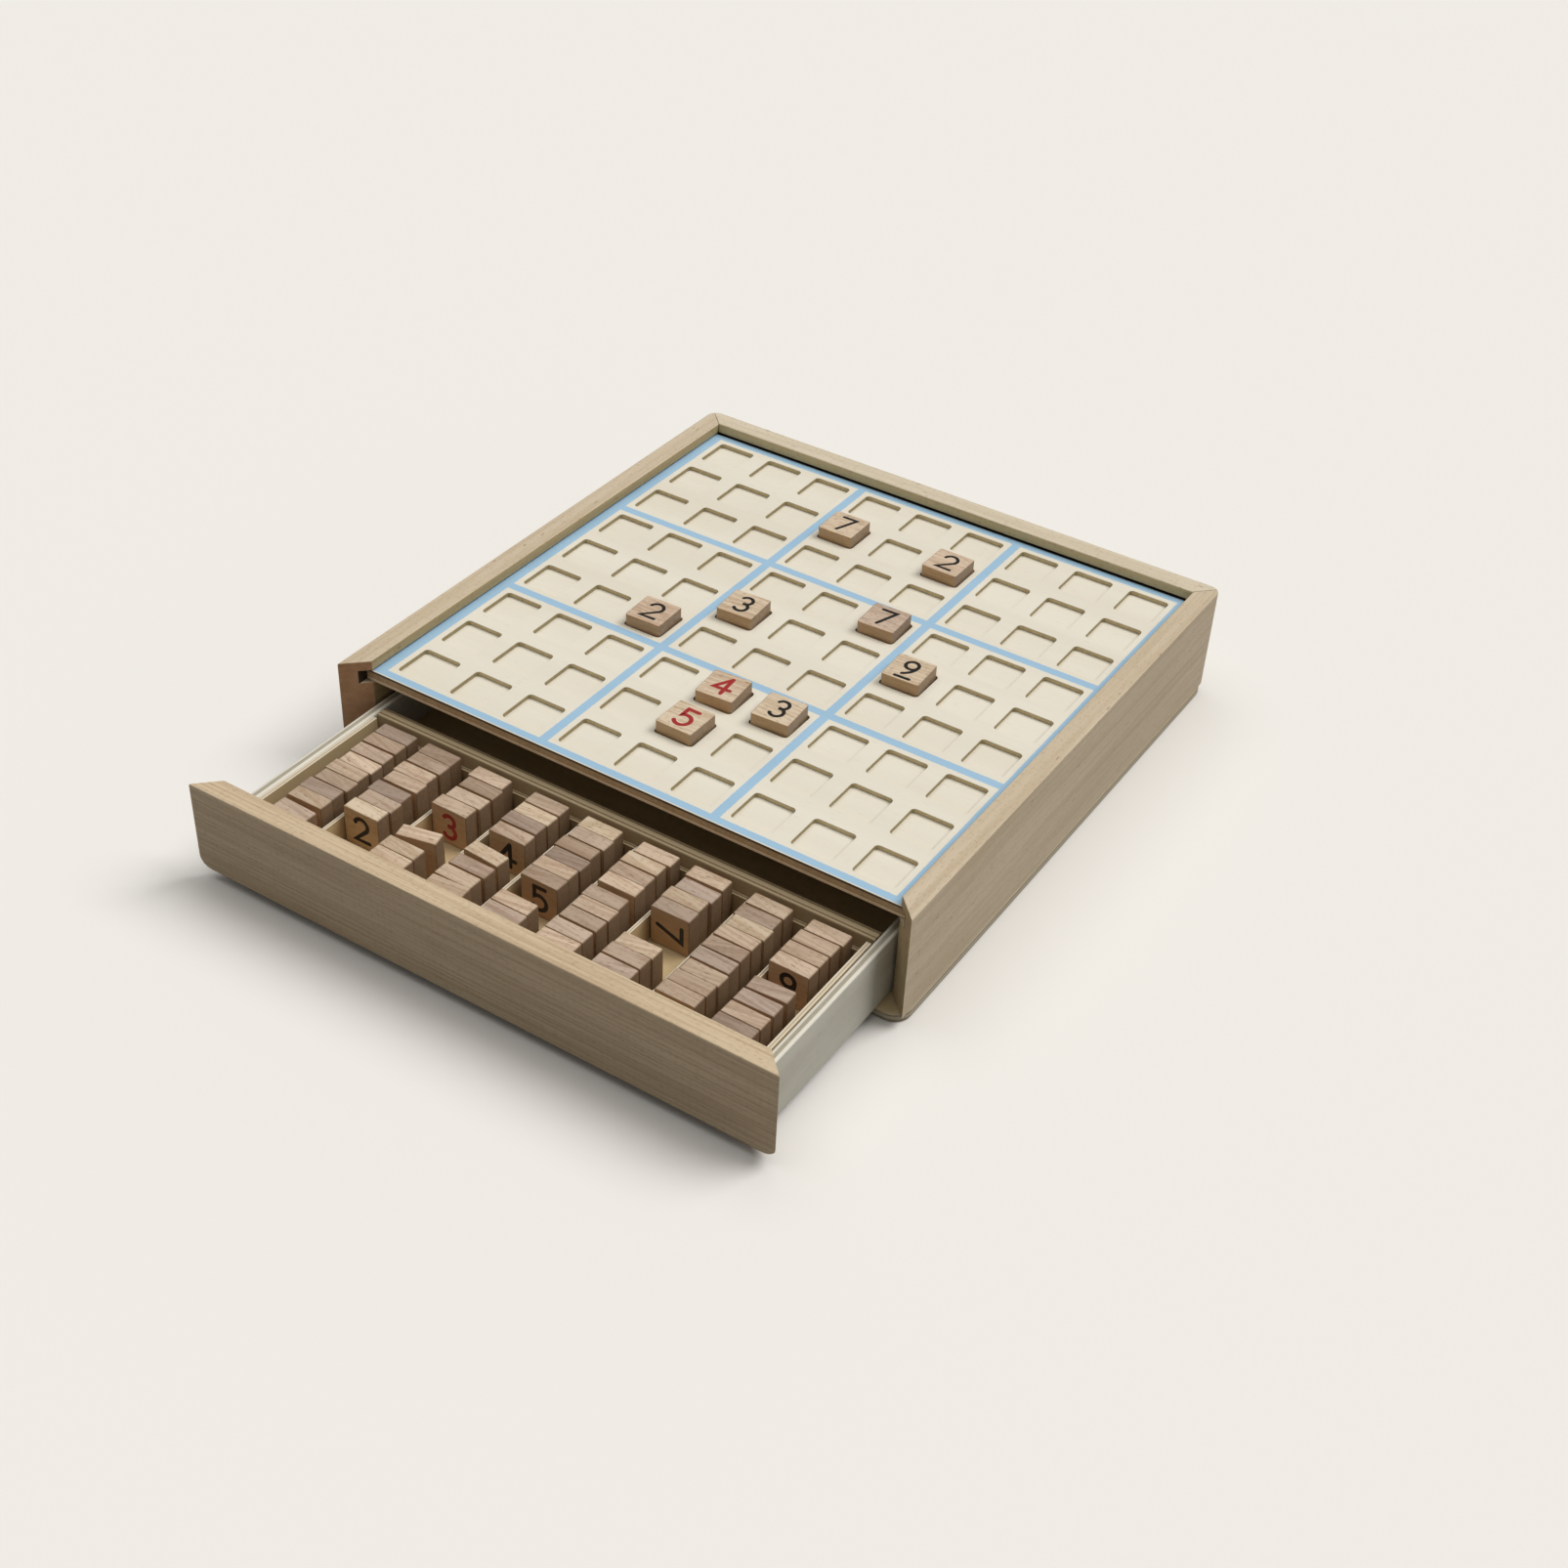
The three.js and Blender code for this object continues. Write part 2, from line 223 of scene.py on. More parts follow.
def flecks(shade, place, scale, share, size):
    """Short dark dashes along the grain, one in some of the cells of a stretched cell pattern."""
    inputs = {"Vector": shade.stretched(place, scale), "Scale": 1.0, "Randomness": 1.0}
    cells = shade.add("TexVoronoi", inputs)
    chosen = shade.math("GREATER_THAN", shade.axes(cells["Color"])[0], 1.0 - share)
    near = shade.ramp(cells["Distance"], size, FLECK_MIDDLE * size)
    return shade.math("MULTIPLY", chosen, near)


# Solid wood
WOOD_FIGURE = ((7, 55, 55), 3.0)
WOOD_FIGURE_RANGE = (0.3, 0.7)
RING_WAVES = 9
RING_RANGE = (0.35, 0.7)
WOOD_FIBRE = ((90, 2400, 2400), 4.0, 0.65)
TONE_SPREAD = 0.45
SMALL_FLECKS = ((330, 1900, 1900), 0.45, 0.42)
LARGE_FLECK_CELLS = (160, 800, 800)
LARGE_FLECK_SIZE = 0.30
LARGE_FLECK_STRENGTH = 0.75
WOOD_ROUGHNESS = (0.2, 0.46)
# Characters of solid wood: strengths of its broad figure, growth rings and fibre, rings to the metre,
# strength of its small flecks and share of large ones
RAIL_GRAIN = (0.16, 0.22, 0.5, 330, 0.32, 0.03)
FRONT_GRAIN = (0.22, 0.4, 0.6, 900, 0.36, 0.0)
TILE_GRAIN = (0.4, 0.6, 0.5, 640, 0.5, 0.06)


def solid_wood(shade, place, light, dark, fleck_colour, character):
    """Colour, height and roughness of solid wood whose grain runs along the first axis of place."""
    figure_strength, ring_strength, fibre_strength, rings, small_strength, large_share = character
    figure = shade.ramp(shade.noise(place, *WOOD_FIGURE), *WOOD_FIGURE_RANGE)
    growth = shade.ramp(shade.noise(place, (RING_WAVES, rings, rings)), *RING_RANGE)
    fibre = shade.noise(place, *WOOD_FIBRE)
    tone = shade.math("MULTIPLY", figure, figure_strength)
    tone = shade.math("MULTIPLY_ADD", growth, ring_strength, tone)
    tone = shade.math("MULTIPLY_ADD", fibre, fibre_strength, tone)
    middle = (figure_strength + ring_strength + fibre_strength) / 2
    base = shade.mix(shade.ramp(tone, middle - TONE_SPREAD, middle + TONE_SPREAD), light, dark)
    small = shade.math("MULTIPLY", flecks(shade, place, *SMALL_FLECKS), small_strength)
    large = flecks(shade, place, LARGE_FLECK_CELLS, large_share, LARGE_FLECK_SIZE)
    marks = shade.math("MAXIMUM", small, shade.math("MULTIPLY", large, LARGE_FLECK_STRENGTH))
    base = shade.mix(marks, base, fleck_colour)
    height = shade.math("SUBTRACT", fibre, marks)
    roughness = shade.math("MULTIPLY_ADD", fibre, *WOOD_ROUGHNESS)
    return base, height, roughness


# Beech. The ranges say how squarely a face has to look the way of a mitre or of an inner face.
BEECH_FLECK = colour(140, 112, 82)
# Painted shade in the rails' grooves, where the board goes in
GROOVE_SHADE = colour(44, 34, 26)
MITRE_RANGE = (0.42, 0.48)
INNER_RANGE = (0.74, 0.95)


def beech_material(name, along, shift, wood, mitre, inner):
    """Beech. Its mitred ends face the front or the back, and are tinted. Its inner faces get painted shade,
    and the groove in them, where there is one, gets darker painted shade."""
    light, dark, character = wood
    shade = Shade(name)
    place = shade.grain_place(along, shift)
    base, height, roughness = solid_wood(shade, place, light, dark, BEECH_FLECK, character)
    normal = shade.facing()
    mitre_way, mitre_tint = mitre
    slant = shade.math("MULTIPLY", shade.math("ABSOLUTE", normal["X"]), normal["Y"])
    mitred = shade.ramp(shade.math("MULTIPLY", slant, mitre_way), *MITRE_RANGE)
    base = shade.mix(mitred, base, mitre_tint, "MULTIPLY")
    if inner:
        axis, way, tint = inner
        here = shade.axes(shade.part_place())
        # Painted shade: the tint darkens faces that look inward
        inner_shade_mask = shade.ramp(shade.math("MULTIPLY", normal[axis], way), *INNER_RANGE)
        base = shade.mix(inner_shade_mask, base, tint, "MULTIPLY")
        # Painted shade in the groove
        within = shade.math("GREATER_THAN", shade.math("MULTIPLY", here[axis], way), -GROOVE_END)
        level = shade.math("COMPARE", here["Z"], GROOVE_LEVEL, GROOVE_HALF)
        base = shade.mix(shade.math("MULTIPLY", within, level), base, GROOVE_SHADE)
    return shade.finish(base, height, roughness)


# Plywood. A dark core starts between two faces, from 0 on a face to 1 in the core's middle.
CORE_START = 0.66
CORE_BLUR = 0.07
CORE_DEPTH = 0.5
CORE_GRAIN = ((900, 900, 900), 2.0)
LAYER_WANDER = ((40, 160, 160), 2.0)
LAYER_STRAY = (0.16, -0.08)
PLY_FIBRE = ((80, 1900, 1900), 4.0, 0.65)
PLY_FIBRE_STRENGTH = 0.4
PLY_FIGURE = ((15, 65, 65), 3.0)
PLY_FIGURE_RANGE = (0.35, 0.65)
PLY_FIGURE_STRENGTH = 0.35
PLY_FLECKS = ((220, 1500, 1500), 0.2, 0.35)
PLY_FLECK_STRENGTH = 0.3
PLY_ROUGHNESS = (0.15, 0.55)
# How squarely a face looks along the thickness, from a veneer to a sawn edge, and the strengths there
SAWN_RANGE = (0.8, 0.5, 0.0, 0.7)


def plywood_material(name, along, across, cores, finish, low, high, shift):
    """Plywood: face veneers with grain, and dark cores that show on the edges, between low and high."""
    light, dark, core, cut_edge = finish
    shade = Shade(name)
    place = shade.grain_place(along, shift)
    depth = shade.math("SUBTRACT", shade.axes(shade.part_place())[across], low)
    steps = shade.math("DIVIDE", depth, (high - low) / (2 * cores))
    wander = shade.math("MULTIPLY_ADD", shade.noise(place, *LAYER_WANDER), *LAYER_STRAY)
    turn = shade.math("PINGPONG", shade.math("ADD", steps, wander), 1.0)
    inner = shade.ramp(turn, CORE_START - CORE_BLUR, CORE_START + CORE_BLUR)
    fibre = shade.noise(place, *PLY_FIBRE)
    figure = shade.ramp(shade.noise(place, *PLY_FIGURE), *PLY_FIGURE_RANGE)
    tone = shade.math("MULTIPLY", fibre, PLY_FIBRE_STRENGTH)
    tone = shade.math("MULTIPLY_ADD", figure, PLY_FIGURE_STRENGTH, tone)
    face = shade.mix(tone, light, dark)
    marks = flecks(shade, place, *PLY_FLECKS)
    face = shade.mix(shade.math("MULTIPLY", marks, PLY_FLECK_STRENGTH), face, core)
    sawn = shade.ramp(shade.math("ABSOLUTE", shade.facing()[across]), *SAWN_RANGE)
    face = shade.mix(sawn, face, cut_edge)
    end = shade.mix(shade.noise(place, *CORE_GRAIN), dark, core)
    base = shade.mix(inner, face, end)
    height = shade.math("SUBTRACT", fibre, shade.math("MULTIPLY", inner, CORE_DEPTH))
    roughness = shade.math("MULTIPLY_ADD", fibre, *PLY_ROUGHNESS)
    return shade.finish(base, height, roughness)


# Layers of the board's front edge: how they wander, and their colours, in pairs from light to dark or single
LAYER_WAVES = ((60, 200, 200), 2.0)
LAYER_WOOD = (colour(214, 182, 138), colour(168, 138, 100))
LAYER_VENEER = (colour(240, 217, 186), colour(210, 186, 152))
LAYER_GLUE = colour(120, 96, 70)
LAYER_CORE = colour(88, 76, 58)


def layered_edge(shade, place, height, tone):
    """The board's front edge: a dark layer under the print, then tan wood, a glue line and a pale veneer."""
    wander = shade.math("MULTIPLY_ADD", shade.noise(place, *LAYER_WAVES), *STRAY)
    level = shade.math("ADD", height, wander)
    wood = shade.mix(tone, *LAYER_WOOD)
    veneer = shade.mix(tone, *LAYER_VENEER)
    edge = shade.mix(shade.ramp(level, EDGE_VENEER + EDGE_BLUR, EDGE_VENEER - EDGE_BLUR), wood, veneer)
    glue = shade.math("COMPARE", level, EDGE_VENEER + EDGE_BLUR, EDGE_BLUR)
    edge = shade.mix(glue, edge, LAYER_GLUE)
    core = shade.ramp(level, EDGE_CORE - EDGE_BLUR, EDGE_CORE + EDGE_BLUR)
    return shade.mix(core, edge, LAYER_CORE)


# Sheets of the board. Pairs of colours run from light to dark.
SHEET_SHIFT = (0.3, 0.7, 0.1)
SHEET_FIBRE = ((60, 1300, 1300), 4.0, 0.6)
SHEET_FIBRE_STRENGTH = 0.45
SHEET_FIGURE = ((5, 45, 45), 3.0)
SHEET_FIGURE_RANGE = (0.3, 0.75)
SHEET_FIGURE_STRENGTH = 0.5
SHEET_FLECKS = ((160, 1100, 1100), 0.10, 0.3)
SHEET_FLECK = colour(196, 180, 150)
SHEET_FLECK_STRENGTH = 0.3
SHEET_ROUGHNESS = (0.15, 0.5)
SHEET_BUMP = 0.12
CREAM = (colour(233, 228, 214), colour(220, 212, 194))
BLUE = (colour(164, 198, 223), colour(151, 186, 212))
RAGGED_WAVES = ((900, 900, 900), 2.0)
# Painted shade for the gap where the board meets the back rail
BACK_GAP_SHADE = colour(30, 26, 22)
# Edges of the cut-outs along the grain and across it, and how squarely an end looks along the grain. Ends
# across the grain are darker as end grain and as painted shade on the recesses' left walls.
CUT_GRAIN = ((500, 500, 120), 3.0)
LONG_EDGE = (colour(228, 211, 167), colour(194, 175, 133))
END_EDGE_AND_SHADE = (colour(172, 159, 122), colour(138, 124, 90))
END_RANGE = (0.3, 0.8)
LEAST_UPWARD = 0.5


def printed_lines(shade, place, here):
    """Where the blue lines are: between the blocks, and round the board to just short of its front edge,
    where the cream strip left is a painted highlight.
    """
    ragged = shade.math("MULTIPLY_ADD", shade.noise(place, *RAGGED_WAVES), *STRAY)
    line = 0.0
    for axis in "XY":
        outward = shade.math("ADD", shade.math("ABSOLUTE", here[axis]), ragged)
        distance = shade.math("ABSOLUTE", shade.math("SUBTRACT", outward, BLOCK_PITCH / 2))
        between = shade.ramp(distance, LINE_WIDTH / 2 + LINE_BLUR, LINE_WIDTH / 2 - LINE_BLUR)
        border = shade.ramp(outward, BORDER_START - LINE_BLUR, BORDER_START + LINE_BLUR)
        line = shade.math("MAXIMUM", line, shade.math("MAXIMUM", between, border))
    # No print at the very front: the cream strip there is a painted highlight on the edge
    return shade.math("MULTIPLY", line, shade.math("GREATER_THAN", here["Y"], PRINT_FRONT))


def sheet_material(name, printed_top=None):
    """The board's pale sheets. With a printed top, blue lines run between and round the blocks."""
    shade = Shade(name)
    place = shade.grain_place("X", SHEET_SHIFT)
    fibre = shade.noise(place, *SHEET_FIBRE)
    figure = shade.ramp(shade.noise(place, *SHEET_FIGURE), *SHEET_FIGURE_RANGE)
    tone = shade.math("MULTIPLY", fibre, SHEET_FIBRE_STRENGTH)
    tone = shade.math("MULTIPLY_ADD", figure, SHEET_FIGURE_STRENGTH, tone)
    top = shade.mix(tone, *CREAM)
    marks = flecks(shade, place, *SHEET_FLECKS)
    top = shade.mix(shade.math("MULTIPLY", marks, SHEET_FLECK_STRENGTH), top, SHEET_FLECK)
    here = shade.axes(shade.part_place())
    normal = shade.facing()
    edge_tone = shade.noise(place, *CUT_GRAIN)
    long_edge = shade.mix(edge_tone, *LONG_EDGE)
    end_edge_and_shade = shade.mix(edge_tone, *END_EDGE_AND_SHADE)
    # Ends across the grain: darker end grain, and painted shade on the recesses' left walls
    end_shade_mask = shade.ramp(shade.math("ABSOLUTE", normal["X"]), *END_RANGE)
    edge = shade.mix(end_shade_mask, long_edge, end_edge_and_shade)
    front_edge = layered_edge(shade, place, here["Z"], edge_tone)
    edge = shade.mix(shade.math("LESS_THAN", here["Y"], FRONT_EDGE), edge, front_edge)
    if printed_top is not None:
        top = shade.mix(printed_lines(shade, place, here), top, shade.mix(tone, *BLUE))
        # Painted shade: a dark strip along the back stands for the shadowed gap at the back rail
        top = shade.mix(shade.math("GREATER_THAN", here["Y"], SHADE_STRIP_START), top, BACK_GAP_SHADE)
        on_edge = shade.math("LESS_THAN", here["Z"], printed_top - PRINT_DEPTH)
    else:
        on_edge = shade.math("LESS_THAN", normal["Z"], LEAST_UPWARD)
    base = shade.mix(on_edge, top, edge)
    roughness = shade.math("MULTIPLY_ADD", fibre, *SHEET_ROUGHNESS)
    return shade.finish(base, fibre, roughness, bump=SHEET_BUMP)


# Tile wood: light and dark of pale, warm and mauve tiles, and the ranges of tone between them
PALE_TILE = (colour(217, 199, 173), colour(191, 167, 137))
WARM_TILE = (colour(213, 190, 166), colour(183, 156, 131))
MAUVE_TILE = (colour(188, 168, 152), colour(156, 135, 119))
WARM_RANGE = (0.0, 0.5)
MAUVE_RANGE = (0.6, 1.0)
TILE_FLECK = colour(132, 102, 76)
# Painted shade of the stored tiles in the dim drawer
TILE_SHADE_COLOUR = colour(110, 87, 68)
# Painted warm shade on tile faces that lie in shade
WARM_SHADE_COLOUR = colour(190, 150, 100)
WARM_SHADE_STRENGTH = 0.7
# Dark end grain, and darker on stored tiles as painted shade
END_GRAIN_AND_SHADE = (colour(134, 108, 80), colour(98, 75, 54))
END_RINGS = ((250, 900, 900), 3.0)
TILE_BUMP = 0.3


def tile_material(name):
    """Tile wood, from each tile's own coordinates, tone, painted shade and faces, which its mesh carries."""
    shade = Shade(name)
    place = shade.attribute("grain_place")["Vector"]
    tone = shade.attribute("tone")["Fac"]
    warm_share = shade.ramp(tone, *WARM_RANGE)
    mauve_share = shade.ramp(tone, *MAUVE_RANGE)
    tints = []
    for pale, warm, mauve in zip(PALE_TILE, WARM_TILE, MAUVE_TILE):
        tints.append(shade.mix(mauve_share, shade.mix(warm_share, pale, warm), mauve))
    base, height, roughness = solid_wood(shade, place, *tints, TILE_FLECK, TILE_GRAIN)
    # Painted shade: stored tiles are darkened, as the drawer is dimmer
    base = shade.mix(shade.attribute("painted_shade")["Fac"], base, TILE_SHADE_COLOUR)
    # Painted warm shade on the faces that lie in shade
    warm_shading = shade.math("MULTIPLY", shade.attribute("warm_shading")["Fac"], WARM_SHADE_STRENGTH)
    base = shade.mix(warm_shading, base, WARM_SHADE_COLOUR)
    rings = shade.mix(shade.noise(place, *END_RINGS), *END_GRAIN_AND_SHADE)
    # End grain, partly painted shade
    base = shade.mix(shade.attribute("end_grain_and_shade")["Fac"], base, rings)
    return shade.finish(base, height, roughness, bump=TILE_BUMP)


# Printing ink
INK_PATCHES = ((1500, 3500, 3500), 3.0)
INK_PATCH_RANGE = (0.55, 0.8)
INK_PATCH_STRENGTH = 0.35
INK_ROUGHNESS = (0.2, 0.42)
INK_BUMP = 0.1


def ink_material(name, ink, thin):
    """Printing ink, a little thinner where the wood's pores are."""
    shade = Shade(name)
    patchy = shade.ramp(shade.noise(shade.part_place(), *INK_PATCHES), *INK_PATCH_RANGE)
    base = shade.mix(shade.math("MULTIPLY", patchy, INK_PATCH_STRENGTH), ink, thin)
    roughness = shade.math("MULTIPLY_ADD", patchy, *INK_ROUGHNESS)
    return shade.finish(base, patchy, roughness, bump=INK_BUMP)


TILE_WOOD = tile_material("tile_wood")
BLACK_INK = ink_material("black_ink", colour(24, 21, 19), colour(62, 52, 44))
RED_INK = ink_material("red_ink", colour(160, 40, 38), colour(186, 92, 78))
TILE_MATERIALS = (TILE_WOOD, BLACK_INK, RED_INK)
INKS = {"black": TILE_MATERIALS.index(BLACK_INK), "red": TILE_MATERIALS.index(RED_INK)}


def smooth_rounds():
    """A modifier's node group that shades rounded edges smooth, and keeps sharp ones and upright mitres."""
    group = bpy.data.node_groups.new("smooth_rounds", "GeometryNodeTree")
    for way in ("INPUT", "OUTPUT"):
        group.interface.new_socket("Geometry", in_out=way, socket_type="NodeSocketGeometry")
    source = add_node(group, "NodeGroupInput")[0]
    merging = {"Geometry": source, "Distance": MERGE_DISTANCE}
    merged = add_node(group, "GeometryNodeMergeByDistance", merging)[0]
    smooth = add_node(group, "GeometryNodeSetShadeSmooth", {"Geometry": merged})[0]
    ends = add_node(group, "GeometryNodeInputMeshEdgeVertices")
    between = {0: ends["Position 2"], 1: ends["Position 1"]}
    span = add_node(group, "ShaderNodeVectorMath", between, operation="SUBTRACT")[0]
    along = add_node(group, "ShaderNodeVectorMath", {0: span}, operation="NORMALIZE")[0]
    rise = add_node(group, "ShaderNodeSeparateXYZ", {0: along})["Z"]
    upright = add_node(group, "ShaderNodeMath", {0: rise}, operation="ABSOLUTE")[0]
    angle = add_node(group, "GeometryNodeInputMeshEdgeAngle")["Unsigned Angle"]
    adding = {0: upright, 1: UPRIGHT_SHARPER, 2: angle}
    bend = add_node(group, "ShaderNodeMath", adding, operation="MULTIPLY_ADD")[0]
    sharp = add_node(group, "ShaderNodeMath", {0: bend, 1: SHARP_ANGLE}, operation="GREATER_THAN")[0]
    creasing = {"Geometry": smooth, "Selection": sharp, "Shade Smooth": False}
    creased = add_node(group, "GeometryNodeSetShadeSmooth", creasing, domain="EDGE")[0]
    add_node(group, "NodeGroupOutput", {0: creased})
    return group


SMOOTH_ROUNDS = smooth_rounds()


def dress(node, material):
    """Gives a CAD node its material, and shades its rounded edges smooth."""
    piece = frame["nodes"][node]
    piece.material_slots[0].link = "OBJECT"
    piece.material_slots[0].material = material
    piece.modifiers.new("smooth_rounds", "NODES").node_group = SMOOTH_ROUNDS
    even = piece.modifiers.new("even_normals", "WEIGHTED_NORMAL")
    even.keep_sharp = True


def arc(centre, radius, start, end):
    """Points on an arc, from one angle to another, in degrees."""
    first, last = math.radians(start), math.radians(end)
    count = max(2, round(abs(last - first) / ARC_STEP))
    points = []
    for index in range(count + 1):
        angle = first + (last - first) * index / count
        points.append((centre[0] + radius * math.cos(angle), centre[1] + radius * math.sin(angle)))
    return points


def turned(strokes):
    """The same strokes, turned half round."""
    return [[(-x, -y) for x, y in stroke] for stroke in strokes]


RAISED_SCALE = 0.9
RAISED_BY = 0.07


def raised(strokes):
    """The same strokes, a little smaller and higher, with room for a line below."""
    return [[(RAISED_SCALE * x, RAISED_SCALE * y + RAISED_BY) for x, y in stroke] for stroke in strokes]


# Strokes of each digit, drawn 1 high about the origin
SIX = [
    arc((0, -0.21), 0.29, 0, 360),
    arc((0.52, -0.21), 0.81, 180, 118),
]
UNDERLINE = [(-0.3, -0.63), (0.3, -0.63)]
DIGITS = {
    1: [[(-0.20, 0.28), (0.04, 0.5), (0.04, -0.5)]],
    2: [[*arc((0, 0.21), 0.29, 165, -38), (-0.31, -0.5), (0.33, -0.5)]],
    3: [arc((0, 0.25), 0.25, 150, -90), arc((0, -0.24), 0.27, 90, -150)],
    4: [[(0.13, 0.5), (-0.33, -0.20), (0.36, -0.20)], [(0.13, 0.5), (0.13, -0.5)]],
    5: [[(0.27, 0.5), (-0.20, 0.5), *arc((-0.01, -0.18), 0.32, 128, -148)]],
    6: [*raised(SIX), UNDERLINE],
    7: [[(-0.31, 0.5), (0.31, 0.5), (-0.10, -0.5)]],
    8: [arc((0, 0.255), 0.245, -90, 270), arc((0, -0.22), 0.28, 90, 450)],
    9: [*raised(turned(SIX)), UNDERLINE],
}


def stroke_stations(points, half_width):
    """Centre, sideways direction and half width at each step along a stroke, with rounded ends."""
    path = [Vector(point) for point in points]
    closed = (path[0] - path[-1]).length < MERGE_DISTANCE
    stations = []
    for index, point in enumerate(path):
        before = path[index - 1] if index else (path[-2] if closed else None)
        after = path[index + 1] if index + 1 < len(path) else (path[1] if closed else None)
        back = (point - before).normalized() if before else (after - point).normalized()
        ahead = (after - point).normalized() if after else back
        along = (back + ahead).normalized()
        side = Vector((-along.y, along.x))
        widening = 1 / max(LEAST_COSINE, side.dot(Vector((-back.y, back.x))))
        stations.append((point, side, half_width * widening))
    if closed:
        return stations
    start, start_side, _ = stations[0]
    end, end_side, _ = stations[-1]
    start_ahead = Vector((start_side.y, -start_side.x))
    end_ahead = Vector((end_side.y, -end_side.x))
    opening, closing = [], []
    for step in range(1, CAP_STEPS + 1):
        angle = CAP_SWEEP * step / CAP_STEPS
        reach = half_width * math.sin(angle)
        width = half_width * math.cos(angle)
        opening.insert(0, (start - start_ahead * reach, start_side, width))
        closing.append((end + end_ahead * reach, end_side, width))
    return opening + stations + closing


def add_digit(mesh, digit, ink, width, to_face):
    """Adds a digit's strokes as thin raised ink; to_face puts the digit's plane on a tile's face."""
    for order, stroke in enumerate(DIGITS[digit]):
        top = INK_DEPTH + order * STROKE_STEP
        scaled = [(x * DIGIT_HEIGHT, y * DIGIT_HEIGHT) for x, y in stroke]
        rows = []
        for centre, side, reach in stroke_stations(scaled, width / 2):
            left = centre + side * reach
            right = centre - side * reach
            corners = [(left, top), (right, top), (right, -top), (left, -top)]
            rows.append([mesh.verts.new(to_face @ Vector((*point, height))) for point, height in corners])
        ends = [rows[0][::-1], rows[-1]]
        faces = [mesh.faces.new(ring) for ring in ends]
        for row, following in zip(rows, rows[1:]):
            for index in range(len(row)):
                after = (index + 1) % len(row)
                faces.append(mesh.faces.new((row[index], row[after], following[after], following[index])))
        for face in faces:
            face.material_index = INKS[ink]


def rounded_outline(half_width, half_height, radius, steps):
    """Points round a rectangle with rounded corners, about the origin."""
    points = []
    corners = [(1, 1, 0), (-1, 1, 90), (-1, -1, 180), (1, -1, 270)]
    for across, up, start in corners:
        for index in range(steps + 1):
            angle = math.radians(start + 90 * index / steps)
            x = across * (half_width - radius) + radius * math.cos(angle)
            y = up * (half_height - radius) + radius * math.sin(angle)
            points.append((x, y))
    return points


def add_tile(mesh, layers, to_part, to_grain, thickness, tones, faces):
    """Adds one tile, lying flat about the origin before to_part: rounded corners and eased edges.
    Its tones are its hue and its painted shade. Its faces are the strengths of the painted warm shade on its
    flat faces and on its sides, and of its end grain, which is partly painted shade."""
    rings = []
    for step in range(EDGE_STEPS + 1):
        angle = math.radians(90) * step / EDGE_STEPS
        rings.append((TILE_EDGE * (1 - math.sin(angle)), TILE_EDGE * (1 - math.cos(angle))))
    rings += [(inset, thickness - rise) for inset, rise in reversed(rings)]
    loops = []
    half = TILE_SIZE / 2
    grain, hue, painted_shade, end_grain_and_shade, warm_shading = layers
    flat_warm_shade, side_warm_shade, end_strength = faces
    for inset, rise in rings:
        loop = []
        for x, y in rounded_outline(half - inset, half - inset, TILE_CORNER - inset, CORNER_STEPS):
            flat = Vector((x, y, rise - thickness / 2))
            vert = mesh.verts.new(to_part @ flat)
            vert[grain] = to_grain @ flat
            vert[hue], vert[painted_shade] = tones
            loop.append(vert)
        loops.append(loop)
    for ring in (loops[0][::-1], loops[-1]):
        mesh.faces.new(ring)[warm_shading] = flat_warm_shade
    count = len(loops[0])
    outline = rounded_outline(half, half, TILE_CORNER, CORNER_STEPS)
    for index in range(count):
        after = (index + 1) % count
        along = (Vector(outline[after]) - Vector(outline[index])).normalized()
        for lower, upper in zip(loops, loops[1:]):
            face = mesh.faces.new((lower[index], lower[after], upper[after], upper[index]))
            face.smooth = True
            face[end_grain_and_shade] = end_strength * along.y ** 2
            face[warm_shading] = side_warm_shade * along.x ** 2


# How far the grain strays from the tiles' own axes, in degrees, and how far apart their wood is taken
GRAIN_LEAN = 9
GRAIN_TURN = 4
TILE_PATTERN_SPAN = 2


class TilePiece:
    """A piece made of one or more tiles, with their digits."""

    def __init__(self, name):
        self.name = name
        self.mesh = bmesh.new()
        point_layers = self.mesh.verts.layers
        face_layers = self.mesh.faces.layers
        self.layers = (
            point_layers.float_vector.new("grain_place"),
            point_layers.float.new("tone"),
            point_layers.float.new("painted_shade"),
            face_layers.float.new("end_grain_and_shade"),
            face_layers.float.new("warm_shading"),
        )

    def tile(self, to_part, chance, thickness, tones, faces):
        lean = Matrix.Rotation(math.radians(chance.gauss(0, GRAIN_LEAN)), 4, "Y")
        turn = Matrix.Rotation(math.radians(chance.gauss(0, GRAIN_TURN)), 4, "Z")
        shift = Matrix.Translation([chance.uniform(0, TILE_PATTERN_SPAN) for _ in range(3)])
        add_tile(self.mesh, self.layers, to_part, shift @ turn @ lean, thickness, tones, faces)

    def finish(self, node, body):
        data = bpy.data.meshes.new(self.name)
        self.mesh.to_mesh(data)
        self.mesh.free()
        for material in TILE_MATERIALS:
            data.materials.append(material)
        piece = add_object(self.name, data)
        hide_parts(node)
        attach(piece, body)


def body_of(node):
    """The body that carries a CAD node."""
    for body, nodes in frame["record"]["behaviour"]["bodies"].items():
        if node in nodes:
            return body
    return None


def top_face(thickness):
    """From a digit's plane to the top of a tile that lies flat."""
    return Matrix.Translation((0, 0, thickness / 2))


def under_face(thickness):
    """From a digit's plane to the underside of a tile that lies flat."""
    return Matrix.Rotation(math.pi, 4, "Y") @ Matrix.Translation((0, 0, thickness / 2))


